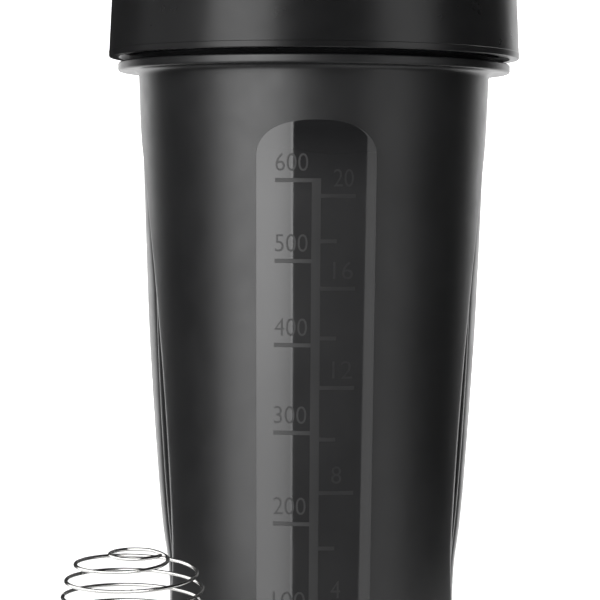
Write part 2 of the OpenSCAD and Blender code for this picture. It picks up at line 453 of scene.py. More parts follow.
def grip_half(z):
    """Half of a grip's width at a height: two half ellipses that meet where it is widest."""
    span = GRIP_TOP - GRIP_MIDDLE if z > GRIP_MIDDLE else GRIP_MIDDLE - GRIP_LOW
    return GRIP_W * math.sqrt(max(0.0, 1 - ((z - GRIP_MIDDLE) / span) ** 2))


def grip_reach(z):
    """Arc from a grip's middle to its edge; it never closes, since its depth fades out instead."""
    return max(math.radians(8), math.asin(grip_half(z) / cup_r(z))) * cup_r(z)


def grip_depth(z):
    """Depth of a grip's hollow along its middle."""
    fade = smooth((GRIP_TOP - z) / FADE_TOP) * smooth((z - GRIP_LOW) / FADE_LOW)
    heel = GRIP_HEEL * smooth((HEEL_TOP - z) / HEEL_SPAN)
    return (GRIP_DEPTH + GRIP_GROWTH * max(0.0, GROWTH_TOP - z) ** 2 + heel) * fade


# How far a grip's outer step lies inside its outline, in mm
STEP_SET = 1.7
# Heights between which a grip has an inner step too, and the widest distance between the two
BAND_LOW = 33.0
BAND_TOP = 111.0
BAND_WIDTH = 4.3
# A step's rolled edge, then its wall, then a groove that eases up to the step's floor
ROLL_WIDTH = 1.7
ROLL_R = 4.1
STEP_WALL = 0.6
STEP_FLOOR = 0.42
GROOVE = 0.54
GROOVE_EASE = 1.3
# Distances from the edge of a grip's step, in mm, where the skin gets a column
STEP_COLUMNS = (3.2, 2.4, 1.7, 1.2, 0.85, 0.6, 0.5, 0.4, 0.3, 0.2, 0.1, 0.0, -0.1, -0.4, -0.8, -1.25, -1.7)
# Radii of the outside heel and the inside bowl, and the rows of the wall between the grips' ends
HEEL_R = 3.6
BOWL_R = 6.0
CUP_ROWS = 96
# How many columns cross half of a grip's floor, and the plain wall from a grip to the front
FLOOR_COLUMNS = 12
WALL_COLUMNS = 30


def grip_band(z):
    """Distance between the two steps of a grip."""
    t = (z - BAND_LOW) / (BAND_TOP - BAND_LOW)
    if t <= 0 or t >= 1:
        return 0.0
    return BAND_WIDTH * math.sin(math.pi * t) ** 0.7


def step_reach(z):
    """Arc from a grip's middle to its outer step."""
    return grip_reach(z) - STEP_SET * smooth((z - 20) / 15)


def step_down(s):
    """One step of a grip: a rolled edge, a hidden wall and a groove that eases off inward."""
    rolled = ROLL_R - math.sqrt(ROLL_R**2 - min(ROLL_WIDTH, max(0.0, s + ROLL_WIDTH)) ** 2)
    if s < 0:
        return rolled
    if s < STEP_WALL:
        return rolled + (STEP_FLOOR + GROOVE - rolled) * smooth(s / STEP_WALL)
    return STEP_FLOOR + GROOVE * math.exp(-(s - STEP_WALL) / GROOVE_EASE)


def grip_at(z, p, inside):
    """Depth of a grip at p mm of arc from its middle; the inside wall has no steps."""
    middle = grip_depth(z)
    power = 1.4 + 1.2 * smooth((z - 35) / 25)
    if inside:
        u = p / grip_reach(z)
        return middle * max(0.0, 1 - u * u) ** power
    reach = step_reach(z)
    fade = smooth((GRIP_TOP - z) / 14) * smooth((z - GRIP_LOW) / FADE_LOW)
    band = grip_band(z)
    inner = min(1.0, band / 1.5)
    s = reach - p
    u = min(1.0, p / max(1.0, reach - band))
    steps = step_down(s) + inner * step_down(s - band)
    floor_level = STEP_FLOOR * (1 + inner) * fade
    return fade * steps + (middle - floor_level) * (1 - u * u) ** power


def across(z):
    """Arc positions, in mm, of one quarter of a ring, from the middle of a grip to the front."""
    reach = step_reach(z)
    band = grip_band(z)
    floor_end = max(0.5, reach - band - STEP_COLUMNS[0])
    spots = [floor_end * i / FLOOR_COLUMNS for i in range(FLOOR_COLUMNS)]
    spots += sorted([reach - band - c for c in STEP_COLUMNS] + [reach - c for c in STEP_COLUMNS])
    for i in range(1, len(spots)):
        spots[i] = max(spots[i], spots[i - 1] + 0.02)
    start = spots[-1]
    end = math.pi / 2 * cup_r(z)
    return spots + [start + (end - start) * i / WALL_COLUMNS for i in range(1, WALL_COLUMNS + 1)]


def cup_ring(r, z, inside=False):
    """A ring of the cup at radius r and height z, with both grips pressed into it."""
    q = across(z)
    n = len(q) - 1
    angles = [a / cup_r(z) for a in q]
    gripped = GRIP_LOW < z < GRIP_TOP
    depths = [grip_at(z, a, inside) if gripped else 0.0 for a in q]
    spots = [(angles[j], depths[j]) for j in range(n)]
    spots += [(math.pi - angles[j], depths[j]) for j in range(n, 0, -1)]
    spots += [(math.pi + angles[j], depths[j]) for j in range(n)]
    spots += [(2 * math.pi - angles[j], depths[j]) for j in range(n, 0, -1)]
    return [((r - d) * math.cos(a), (r - d) * math.sin(a), z) for a, d in spots]


def make_cup():
    """The moulding from the ring foot up the outside, over the mouth and down the inside to the floor."""
    foot = [(4.0, 1.2), (20.0, 1.2), (28.4, 1.2), (29.0, 1.15), (29.6, 0.75)]
    foot += [(30.0, 0.2), (30.6, 0.02), (31.2, 0.0)]
    heel = arc(cup_r(HEEL_R) - HEEL_R, HEEL_R, HEEL_R, -90, 0, 10)
    levels = []
    for i in range(CUP_ROWS + 1):
        t = i / CUP_ROWS
        s = t - 0.09 * math.sin(2 * math.pi * t)
        levels.append(GRIP_LOW + (GRIP_TOP - GRIP_LOW) * s)
    wall = [(cup_r(z), z) for z in levels] + [(cup_r(z), z) for z in (149, 152, 155, 156.3)]
    lip = arc(cup_r(JUNCTION) + 1.8, JUNCTION - 0.1, 1.8, 172, 98, 8)
    edge = arc(FLANGE_R - 0.6, FLANGE - 1.65, 0.6, -80, 0, 6)
    edge += arc(FLANGE_R - 0.5, FLANGE - 0.5, 0.5, 0, 82, 6)
    neck = [(NECK_R + 0.8, FLANGE), (NECK_R + 0.25, FLANGE + 0.1), (NECK_R, FLANGE + 0.5), (NECK_R, 168.0)]
    neck += [(NECK_R, RIM - 1.0)] + arc(NECK_R - 0.8, RIM - 0.8, 0.8, 0, 90, 6)
    neck += arc(MOUTH_R + 0.6, RIM - 0.6, 0.6, 90, 180, 5)
    neck += [(MOUTH_R, 168.0), (MOUTH_R, FLANGE + 0.8), (MOUTH_R - 0.2, FLANGE + 0.1)]
    neck += [(cup_r(JUNCTION) - WALL + 0.2, JUNCTION + 0.5), (cup_r(JUNCTION - 1) - WALL, JUNCTION - 0.8)]
    inside = [(cup_r(z) - WALL, z) for z in levels[::-1][:-1]]
    bowl = arc(cup_r(9) - WALL - BOWL_R, FLOOR + BOWL_R, BOWL_R, 0, -90, 10)
    outer = foot + heel + wall + lip + edge + neck
    inner = inside + bowl + [(15.0, FLOOR), (4.0, FLOOR)]
    rings = [cup_ring(r, z) for r, z in outer] + [cup_ring(r, z, True) for r, z in inner]
    ob = loft("cup_moulding", rings, CUP_BLACK, 50.0)
    # The neck shines; the inside and the cup below the flange are matt
    ob.data.materials.append(NECK_BLACK)
    for p in ob.data.polygons:
        if p.center.z > (FLANGE - 0.05) * MM and p.center.xy.length > (MOUTH_R + 0.4) * MM:
            p.material_index = 1
    return ob


# A thread's section: share of its depth, and mm below or above its middle
THREAD_FLANK = [(0, -1.3), (0.35, -1.02), (0.8, -0.74), (0.96, -0.62), (1.0, -0.46)]
THREAD_SECTION = THREAD_FLANK + [(x, -y) for x, y in THREAD_FLANK[::-1]]
# Degrees between a thread's rings, and over which it runs out
THREAD_STEP = 2.5
RUN_OUT = 30.0


def thread(name, root, crest, z0, a0, a1, material):
    """A screw thread with rounded flanks from angle a0 to a1, in degrees, that runs out at each end."""
    steps = int((a1 - a0) / THREAD_STEP)
    rings = []
    for i in range(steps + 1):
        a = a0 + (a1 - a0) * i / steps
        h = max(0.02, smooth(min(a - a0, a1 - a) / RUN_OUT))
        z = z0 + LEAD * a / 360
        ring = []
        for x, y in THREAD_SECTION:
            r = root + (crest - root) * x * h
            t = math.radians(a)
            ring.append((r * math.cos(t), r * math.sin(t), z + y))
        rings.append(ring)
    return loft(name, rings, material, 60.0)


def on_cup(arc_mm, z, lift):
    """A point on the front of the cup, arc_mm to the right of the scale's middle."""
    r = cup_r(z)
    a = -math.pi / 2 + arc_mm / r
    return ((r + lift) * math.cos(a), (r + lift) * math.sin(a), z)


# The panel's ends, and its half width at the height where its upper arch begins
PANEL_TOP = 145.6
PANEL_LOW = 13.0
ARCH = 9.0
ARCH_POWER = 0.85
PANEL_W = 14.56
PANEL_TAPER = 0.0066
# Heights of the panel, the spine and the ticks above the cup, and of the feet of the marks' sides
PANEL_LIFT = 0.04
SPINE_LIFT = 0.08
MARK_LIFT = 0.082
MARK_FOOT = 0.02
# Quads across the panel, along each arch and along its straight part
PANEL_COLUMNS = 40
ARCH_ROWS = 14
PANEL_ROWS = 60

# The scale: heights of its ticks, with the numbers beside them
ML_TICKS = (("600", 131.35), ("500", 112.26), ("400", 92.3), ("300", 71.4), ("200", 49.6), ("100", 26.9))
OUNCE_TICKS = (("20", 127.7), ("16", 105.8), ("12", 82.2), ("8", 57.1), ("4", 29.6))
SHORT_TICKS = (117.0, 94.0, 69.9, 43.8)
TICK_HALF = 0.46
# A numeral's rise above its tick, its height, and the width of a number of so many digits
NUMERAL_RISE = 2.2
NUMERAL_TALL = 4.15
NUMERAL_WIDTH = {1: 2.35, 2: 4.75, 3: 7.75}


def panel_half(z):
    """Half the width of the scale panel at a height."""
    return PANEL_W - PANEL_TAPER * (PANEL_TOP - ARCH - z)


def make_panel():
    """The glossy scale panel, raised by a hair, with a rolled edge."""
    bow = []
    for i in range(ARCH_ROWS + 1):
        t = math.radians(89.2 * i / ARCH_ROWS)
        bow.append((ARCH * (1 - math.sin(t) ** ARCH_POWER), math.cos(t) ** ARCH_POWER))
    straight = PANEL_TOP - PANEL_LOW - 2 * ARCH
    rows = [(PANEL_LOW + rise, share) for rise, share in bow[::-1]]
    rows += [(PANEL_LOW + ARCH + straight * i / PANEL_ROWS, 1.0) for i in range(1, PANEL_ROWS)]
    rows += [(PANEL_TOP - rise, share) for rise, share in bow]
    cols = PANEL_COLUMNS
    verts = []
    for z, share in rows:
        w = panel_half(z) * share
        for j in range(cols + 1):
            verts.append(on_cup(w * (2 * j / cols - 1), z, PANEL_LIFT))
    m = cols + 1
    last = len(rows) - 1
    faces = grid_faces(last, cols)
    rim = [(j, 0) for j in range(m)] + [(cols, i) for i in range(1, last + 1)]
    rim += [(j, last) for j in range(cols - 1, -1, -1)] + [(0, i) for i in range(last - 1, 0, -1)]
    flat = [Vector((panel_half(rows[i][0]) * rows[i][1] * (2 * j / cols - 1), rows[i][0])) for j, i in rim]
    middle = Vector((0, (PANEL_TOP + PANEL_LOW) / 2))
    rings = [[i * m + j for j, i in rim]]
    for out, lift in ((0.03, 0.03), (0.06, 0.0), (0.08, -0.05)):
        ring = []
        for k, p in enumerate(flat):
            along = flat[(k + 1) % len(flat)] - flat[k - 1]
            side = Vector((along.y, -along.x))
            if side.length < 1e-6:
                side = p - middle
            side.normalize()
            if side.dot(p - Vector((0, min(max(p.y, PANEL_LOW + ARCH), PANEL_TOP - ARCH)))) < 0:
                side = -side
            q = p + side * out
            ring.append(len(verts))
            verts.append(on_cup(q.x, q.y, lift))
        rings.append(ring)
    for a, b in zip(rings, rings[1:]):
        for k in range(len(a)):
            q = (k + 1) % len(a)
            faces.append((a[k], a[q], b[q], b[k]))
    return mesh_object("scale_panel", verts, faces, PANEL, 60.0)


def patch(x0, x1, z0, z1, lift):
    """A thin bar on the panel: its top face and four short sides."""
    nx = max(2, int((x1 - x0) / 1.0))
    nz = max(2, int((z1 - z0) / 2.0))
    verts = []
    for i in range(nz + 1):
        for j in range(nx + 1):
            verts.append(on_cup(x0 + (x1 - x0) * j / nx, z0 + (z1 - z0) * i / nz, lift))
    m = nx + 1
    faces = grid_faces(nz, nx)
    rim = list(range(m)) + [i * m + nx for i in range(1, nz + 1)]
    rim += [nz * m + j for j in range(nx - 1, -1, -1)] + [i * m for i in range(nz - 1, 0, -1)]
    base = len(verts)
    for k in rim:
        i, j = divmod(k, m)
        x = x0 + (x1 - x0) * j / nx
        z = z0 + (z1 - z0) * i / nz
        x += 0.05 if j == nx else -0.05 if j == 0 else 0
        z += 0.05 if i == nz else -0.05 if i == 0 else 0
        verts.append(on_cup(x, z, MARK_FOOT))
    for k in range(len(rim)):
        q = (k + 1) % len(rim)
        faces.append((rim[k], rim[q], base + q, base + k))
    return verts, faces


def join_parts(name, parts, material):
    """One mesh of several lists of points and faces."""
    verts = []
    faces = []
    for vs, fs in parts:
        base = len(verts)
        verts += vs
        faces += [tuple(base + k for k in f) for f in fs]
    return mesh_object(name, verts, faces, material, 35.0)


def make_marks():
    """The scale's spine, with long ticks on both sides of it and short ones on the right."""
    parts = [patch(-1.08, 1.08, 21.0, 131.8, SPINE_LIFT)]
    ticks = [(-9.8, -1.0, z) for number, z in ML_TICKS]
    ticks += [(1.0, 9.4, z) for number, z in OUNCE_TICKS]
    ticks += [(1.0, 4.9, z) for z in SHORT_TICKS]
    parts += [patch(x0, x1, z - TICK_HALF, z + TICK_HALF, MARK_LIFT) for x0, x1, z in ticks]
    return join_parts("scale_bars", parts, MARK)


def numeral(text, left, tick):
    """A number from the built-in font, laid on the panel above a tick, from its left end, in mm."""
    cu = bpy.data.curves.new("numeral", "FONT")
    cu.body = text
    cu.size = 1.0
    cu.resolution_u = 6
    # Thins the strokes a little
    cu.offset = -0.007
    tmp = bpy.data.objects.new("numeral", cu)
    bpy.context.scene.collection.objects.link(tmp)
    bpy.context.view_layer.update()
    me = bpy.data.meshes.new_from_object(tmp.evaluated_get(bpy.context.evaluated_depsgraph_get()))
    bpy.data.objects.remove(tmp)
    xs = [v.co.x for v in me.vertices]
    ys = [v.co.y for v in me.vertices]
    sx = NUMERAL_WIDTH[len(text)] / (max(xs) - min(xs))
    sz = NUMERAL_TALL / (max(ys) - min(ys))
    bm = bmesh.new()
    bm.from_mesh(me)
    bmesh.ops.remove_doubles(bm, verts=bm.verts, dist=1e-5)
    bm.verts.index_update()
    spots = []
    for v in bm.verts:
        spots.append((left + (v.co.x - min(xs)) * sx, tick + NUMERAL_RISE + (v.co.y - min(ys)) * sz))
    verts = [on_cup(x, z, lift) for lift in (MARK_LIFT, MARK_FOOT) for x, z in spots]
    faces = [tuple(v.index for v in f.verts) for f in bm.faces]
    count = len(spots)
    for e in bm.edges:
        if len(e.link_faces) == 1:
            a, b = e.verts[0].index, e.verts[1].index
            faces.append((a, b, count + b, count + a))
    bm.free()
    bpy.data.meshes.remove(me)
    return verts, faces


def make_numerals():
    """The millilitres on the left of the spine and the ounces on its right."""
    parts = [numeral(text, -9.75, z) for text, z in ML_TICKS]
    parts += [numeral(text, 4.1, z) for text, z in OUNCE_TICKS]
    return join_parts("scale_numerals", parts, MARK)


cup = make_cup()
cup_thread = thread("cup_thread", NECK_R - 0.3, NECK_R + 1.5, FLANGE + 4.4, 0, 450, CUP_BLACK)
panel = make_panel()
bars = make_marks()
numerals = make_numerals()
for ob in (cup, cup_thread, panel, bars, numerals):
    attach(ob, "cup")
    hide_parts("cup")


# ------------------------------------------------------------------ lid


def solid_of_revolution(name, profile, material, steps, centre=(0.0, 0.0), sharp=40.0):
    """An (r, z) line from axis to axis, turned round a vertical axis, closed at both poles."""
    verts = [(centre[0], centre[1], profile[0][1])]
    rows = profile[1:-1]
    for r, z in rows:
        for i in range(steps):
            a = 2 * math.pi * i / steps
            verts.append((centre[0] + r * math.cos(a), centre[1] + r * math.sin(a), z))
    verts.append((centre[0], centre[1], profile[-1][1]))
    faces = []
    for i in range(steps):
        k = (i + 1) % steps
        faces.append((0, 1 + k, 1 + i))
        for j in range(len(rows) - 1):
            low = 1 + j * steps
            high = low + steps
            faces.append((low + i, low + k, high + k, high + i))
        end = 1 + (len(rows) - 1) * steps
        faces.append((len(verts) - 1, end + i, end + k))
    return mesh_object(name, verts, faces, material, sharp)


def lid_profile():
    """The lid's section: its underside from the middle out to the skirt's foot, then up and over the deck."""
    closed = [
        (0.0, DECK - 2.6),
        (17.5, DECK - 2.6, 2.0),
        (30.0, DECK - 3.9, 2.0),
        (42.6, DECK - 6.4, 1.0),
        (42.6, RIM + 0.6, 0.3),
        (43.7, RIM + 0.6, 0.3),
        (43.7, RIM + 2.0, 0.15),
        (BORE_R, RIM + 2.0, 0.2),
        (BORE_R, SKIRT_LOW + 1.2, 0.4),
        (BORE_R + 0.7, SKIRT_LOW, 0.25),
        (SKIRT_R - 0.03, SKIRT_LOW, 0.35),
        (SKIRT_R, SKIRT_LOW + 1.5, 0.2),
        (SKIRT_R - 0.08, SKIRT_LOW + 1.62, 0.1),
        (SKIRT_R - 1.0, SHOULDER, 3.4),
        (44.5, SHOULDER + 1.2, 4.0),
        (30.0, DECK - 1.2, 20.0),
        (18.0, DECK, 10.0),
        (0.0, DECK),
    ]
    return fillet(closed, 6)


def tower_profile():
    """The spout, flared into the deck at its foot and rolled at its lip."""
    foot = SHOULDER + 1.4
    line = [(16.4, foot - 2.0), (16.4, foot), (15.7, foot + 0.9), (15.3, foot + 2.0), (15.0, foot + 3.4)]
    line += [(13.95, SPOUT_TOP - 7.4), (13.85, SPOUT_TOP - 6.7), (13.5, SPOUT_TOP - 6.25)]
    line += [(12.9, SPOUT_TOP - 6.15), (12.0, SPOUT_TOP - 6.15), (11.62, SPOUT_TOP - 6.0)]
    line += [(SPOUT_R, SPOUT_TOP - 5.7), (SPOUT_R, SPOUT_TOP - 2.5)]
    line += arc(SPOUT_R - 0.9, SPOUT_TOP - 0.9, 0.9, 0, 90, 6)
    line += arc(SPOUT_BORE + 0.6, SPOUT_TOP - 0.6, 0.6, 90, 180, 5)
    line += [(SPOUT_BORE, SPOUT_TOP - 4), (SPOUT_BORE, foot + 1), (SPOUT_BORE, foot - 2.0)]
    return line


def upright(x, y, z):
    """A frame whose local X is the row's X, local Y the row's Z, and local Z the row's -Y."""
    return Matrix.Translation((x, y, z)) @ Matrix.Rotation(math.radians(90), 4, "X")


def plug(name, r, low, high, steps, centre):
    """A plain upright cylinder to cut with."""
    return solid_of_revolution(name, [(0, low), (r, low), (r, high), (0, high)], LID_BLACK, steps, centre)


# A hair wider than what it meets, so that the faces don't coincide
CLEAR = 0.02

lid = solid_of_revolution("lid_moulding", lid_profile(), LID_BLACK, 192)
lid = carve(lid, plug("hole", SPOUT_BORE + CLEAR, 170, 215, 96, (SPOUT_X, 0)))
spout = lathe("lid_spout", tower_profile(), LID_BLACK, 120, (SPOUT_X, 0), 45.0)

ear_outline = [(-8.2, -14.6), (-6.4, -13.6), (-5.5, -12.2), (-5.08, -10.2), (-5.0, -8.0)]
ear_outline += arc(0, 0, EAR_R, 180, 0, 24) + [(-x, y) for x, y in ear_outline[::-1]]
ears = []
for side, y in (("left", -EAR_MIDDLE), ("right", EAR_MIDDLE)):
    ear = prism("hinge_ear_" + side, ear_outline, EAR_THICK, upright(PIN_X, y, PIN_Z), LID_BLACK, 0.5)
    ears.append(ear)

# The low mound that the ears stand on, flared into the deck
saddle_line = [(0, DECK - 3.0), (21.5, DECK - 3.0), (20.2, DECK - 1.0), (19.0, DECK + 0.5)]
saddle_line += [(18.0, DECK + 1.5), (17.2, DECK + 2.1), (16.2, DECK + 2.45), (14.0, DECK + 2.5)]
saddle_line += [(0, DECK + 2.5)]
saddle = solid_of_revolution("hinge_saddle", saddle_line, LID_BLACK, 96, (PIN_X, 0))

# The small block that the folded loop lies on
rest_outline = fillet([(-2.2, -2.2), (2.2, -2.2), (1.9, 1.3, 0.9), (-2.0, 2.4, 0.9)], 4)
loop_rest = prism("loop_rest", rest_outline, 10.0, upright(41.2, 0, 185.2), LID_BLACK, 0.5)

lid_thread = thread("lid_thread", BORE_R + 0.3, BORE_R - 1.5, FLANGE + 2.3, 60, 420, LID_BLACK)
for ob in [lid, spout, saddle, loop_rest, lid_thread] + ears:
    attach(ob, "lid")
    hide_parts("lid_shell")


# ------------------------------------------------------------------ gasket, pin, seal


gasket_line = fillet(
    [
        (43.9, RIM + 0.05, 0.35),
        (45.6, RIM + 0.05, 0.1),
        (46.0, RIM + 0.25, 0.1),
        (46.4, RIM + 0.05, 0.1),
        (48.1, RIM + 0.05, 0.35),
        (48.1, RIM + 1.95, 0.35),
        (43.9, RIM + 1.95, 0.35),
    ],
    4,
)
gasket = lathe("gasket_ring", gasket_line, SEAL, 160)
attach(gasket, "seal_ring")
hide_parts("lid_gasket")


# The middle of the hinge pin, in metres
AT_PIN = Matrix.Translation((PIN_X * MM, 0, PIN_Z * MM))


def onto_pin(ob):
    """Moves a mesh made round the vertical axis onto the hinge pin's, its +Z end towards +Y."""
    ob.data.transform(AT_PIN @ Matrix.Rotation(math.radians(-90), 4, "X"))
    return ob


def pin_object():
    """A ground steel pin with chamfered ends."""
    chamfer = 0.35
    line = [(0, -PIN_HALF), (PIN_R - chamfer, -PIN_HALF), (PIN_R, chamfer - PIN_HALF), (PIN_R, 0)]
    line += [(r, -y) for r, y in line[2::-1]]
    return onto_pin(solid_of_revolution("steel_pin", line, PIN_STEEL, 48))


pin = pin_object()
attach(pin, "lid")
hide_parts("hinge_pin")

# A plug with two soft ribs, a lip that lies on the spout, and a stem up into the cap
STEM_R = 5.0
seal_line = [(0, -3.4), (6.9, -3.4), (7.4, -3.3), (7.9, -2.9), (8.15, -2.5), (8.2, -2.1)]
seal_line += [(8.05, -1.7), (8.05, -1.3), (8.2, -0.9), (8.2, -0.3), (8.45, 0.1), (9.9, 0.1)]
seal_line += [(10.2, 0.2), (10.2, 0.3), (STEM_R, 0.3), (STEM_R, 2.3), (0, 2.3)]
seal_line = [(r, SPOUT_TOP + z) for r, z in seal_line]
seal = solid_of_revolution("spout_plug", seal_line, SEAL, 96, (SPOUT_X, 0))
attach(seal, "spout_cap")
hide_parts("spout_seal")


# ------------------------------------------------------------------ flip cap


def make_cap():
    """The domed cap, open below, whose wall reaches down round the spout's lip."""
    line = [(0, SPOUT_TOP + 0.3), (SPOUT_R + 0.3, SPOUT_TOP + 0.3), (SPOUT_R + 0.4, SPOUT_TOP + 0.2)]
    line += [(SPOUT_R + 0.4, SPOUT_TOP - 5.2), (SPOUT_R + 0.6, SPOUT_TOP - 5.4), (13.0, SPOUT_TOP - 5.4)]
    line += [(13.3, SPOUT_TOP - 5.2), (13.4, SPOUT_TOP - 4.8), (13.55, SPOUT_TOP + 1.0)]
    line += arc(10.9, SPOUT_TOP + 1.7, 2.65, 5, 75, 9)
    line += [(9.0, SPOUT_TOP + 4.68), (5.0, SPOUT_TOP + 4.92), (0, SPOUT_TOP + 5.0)]
    return solid_of_revolution("flip_cap_shell", line, LID_BLACK, 128, (SPOUT_X, 0), 45.0)


socket = plug("socket", STEM_R + CLEAR, SPOUT_TOP - 0.5, SPOUT_TOP + 2.3 + CLEAR, 48, (SPOUT_X, 0))
cap = carve(make_cap(), socket)


def make_arm():
    """The arm from the cap to the hinge: an arched strap, thick at the barrel."""
    # Each section: x, half width, and the underside's and the top's height above the spout
    sections = [
        (-24.0, 7.2, 1.2, 3.4),
        (-20.0, 7.0, 0.9, 3.5),
        (-16.0, 7.0, 0.8, 3.9),
        (-12.5, 7.4, 0.6, 3.9),
        (-9.5, 8.0, -0.6, 3.6),
        (-7.2, 8.6, -2.0, 2.4),
        (-6.0, 8.8, -3.0, 1.3),
    ]
    rings = []
    for x, half, low, high in sections:
        ring = fillet([(-half, low, 0.8), (half, low, 0.8), (half, high, 0.9), (-half, high, 0.9)], 4)
        rings.append([(x, y, SPOUT_TOP + z) for y, z in ring])
    return loft("flip_cap_arm", rings, LID_BLACK, 45.0)


# The play of a barrel on the pin
PIN_PLAY = 0.06


def barrel(name, y0, y1, r_out, material, edge):
    """A hinge barrel on the pin, with eased ends."""
    r_in = PIN_R + PIN_PLAY
    ease = 0.3 * edge
    half = (y1 - y0) / 2
    end = [(r_in, 0.2 - half), (r_in + 0.2, -half), (r_out - edge, -half)]
    end += [(r_out - ease, ease - half), (r_out, edge - half), (r_out, 0)]
    line = end + [(r, -y) for r, y in end[-2::-1]]
    return onto_pin(lathe(name, [(r, (y0 + y1) / 2 + y) for r, y in line], material, 64))


pin_hole = onto_pin(plug("pin_hole", PIN_R + 0.07, -22, 22, 48, (0, 0)))
arm = carve(make_arm(), pin_hole)
cap_barrel = barrel("flip_cap_barrel", -CAP_BARREL_HALF, CAP_BARREL_HALF, CAP_BARREL_R, LID_BLACK, 0.4)
# The tab's inner side follows the cap's wall, which it is moulded into
TAB_OUT = 12.8
tab_outline = arc(-TAB_OUT, 0, 12.5, -31.3, 31.3, 8)
tab_outline += [(1.0, 6.5, 2.6), (3.1, 4.0, 2.0), (3.35, 0, 8.0), (3.1, -4.0, 2.0), (1.0, -6.5, 2.6)]
tab_outline = fillet(tab_outline, 6)
tab_place = Matrix.Translation((SPOUT_X - TAB_OUT, 0, SPOUT_TOP - 0.2))
tab_place = tab_place @ Matrix.Rotation(math.radians(180), 4, "Z")
tab = prism("flip_cap_tab", tab_outline, 2.4, tab_place, LID_BLACK, 0.8)
for ob in (cap, arm, cap_barrel, tab):
    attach(ob, "spout_cap")
    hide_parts("flip_cap")


# ------------------------------------------------------------------ carry loop


def loop_path():
    """The middle line of the loop in its own plane, from one eye round to the other."""
    arm_side = [(x, -LOOP_HALF) for x in (3.0, 8.0, 16.0, 26.0, 34.0)]
    arm_side += arc(LOOP_REACH - 9, LOOP_BEND - LOOP_HALF, LOOP_BEND, -90, 0, 14)
    return arm_side + [(x, -y) for x, y in arm_side[::-1]]


def make_loop():
    """A strap of rounded section swept round the path."""
    path = loop_path()
    section = fillet([(-2.1, -2.45, 1.3), (2.1, -2.45, 1.3), (2.1, 2.45, 1.3), (-2.1, 2.45, 1.3)], 5)
    rings = []
    for k, p in enumerate(path):
        a = Vector(path[max(0, k - 1)])
        b = Vector(path[min(len(path) - 1, k + 1)])
        t = (b - a).normalized()
        n = Vector((-t.y, t.x))
        rings.append([(p[0] + n.x * u, p[1] + n.y * u, v) for u, v in section])
    ob = loft("loop_strap", rings, LOOP_BLACK, 50.0)
    ob.data.transform(AT_PIN @ Matrix.Rotation(math.radians(LOOP_SLOPE), 4, "Y"))
    return ob


loop = make_loop()
eye_a = barrel("loop_eye_left", -EYE_OUTER, -EYE_INNER, EYE_R, LOOP_BLACK, 0.7)
eye_b = barrel("loop_eye_right", EYE_INNER, EYE_OUTER, EYE_R, LOOP_BLACK, 0.7)
for ob in (loop, eye_a, eye_b):
    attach(ob, "loop")
    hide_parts("carry_loop")


# ------------------------------------------------------------------ whisk ball


# Turns before an end where the wire closes in to the end ring, and turns that it takes to do so
CLOSE_FROM = 0.6
CLOSE_OVER = 0.7
# Turns that the wire runs on past the coil's end, the last of them as the hooked tip
TIP_FROM = 0.7
TIP_TO = 0.85
# Turn that faces the camera's side
COIL_PHASE = 4.3
WIRE_STEPS = 940
WIRE_SIDES = 12


def coil_point(u):
    """The wire's middle after u turns; turn 0 is the middle of the coil."""
    v = abs(u)
    half = COIL_TURNS / 2
    near = half - CLOSE_FROM
    body = COIL_R * (1 - (COIL_PITCH * min(v, near) / COIL_REACH) ** 4) ** 0.25
    r = body + (COIL_RING - body) * smooth((v - near) / CLOSE_OVER)
    r += smooth((v - half - TIP_FROM) / (TIP_TO - TIP_FROM))
    a = 2 * math.pi * (u - COIL_PHASE) - math.pi / 2
    return Vector((r * math.cos(a), r * math.sin(a), math.copysign(COIL_PITCH * min(v, half), u)))


def make_ball():
    """One continuous springy wire, closed at both ends by a small ring with a hooked tip."""
    lean = Matrix.Rotation(math.radians(COIL_LEAN), 3, "X")
    end = COIL_TURNS / 2 + TIP_TO
    points = [lean @ coil_point(-end + 2 * end * i / WIRE_STEPS) for i in range(WIRE_STEPS + 1)]
    # The lowest turn rests on the table, a hair above it
    centre = Vector((COIL_X, COIL_Y, 1.02 * COIL_WIRE - min(p.z for p in points)))
    rings = []
    for i, c in enumerate(points):
        a = points[max(0, i - 1)]
        b = points[min(WIRE_STEPS, i + 1)]
        t = (b - a).normalized()
        side = t.cross(c).normalized()
        out = side.cross(t).normalized()
        # The first and last rings are smaller, which rounds the wire's ends
        r = 0.95 * COIL_WIRE * min(1.0, 0.35 + 0.325 * min(i, WIRE_STEPS - i))
        ring = []
        for k in range(WIRE_SIDES):
            q = 2 * math.pi * k / WIRE_SIDES
            ring.append(tuple(centre + c + out * (r * math.cos(q)) + side * (r * math.sin(q))))
        rings.append(ring)
    return loft("whisk_wire_coil", rings, WIRE, 60.0)


ball = make_ball()
# The photograph shows no whisk mirrored in the cup's gloss
ball.visible_glossy = False
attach(ball, "ball")
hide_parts("whisk_ball")


# ------------------------------------------------------------------ floor, light, camera


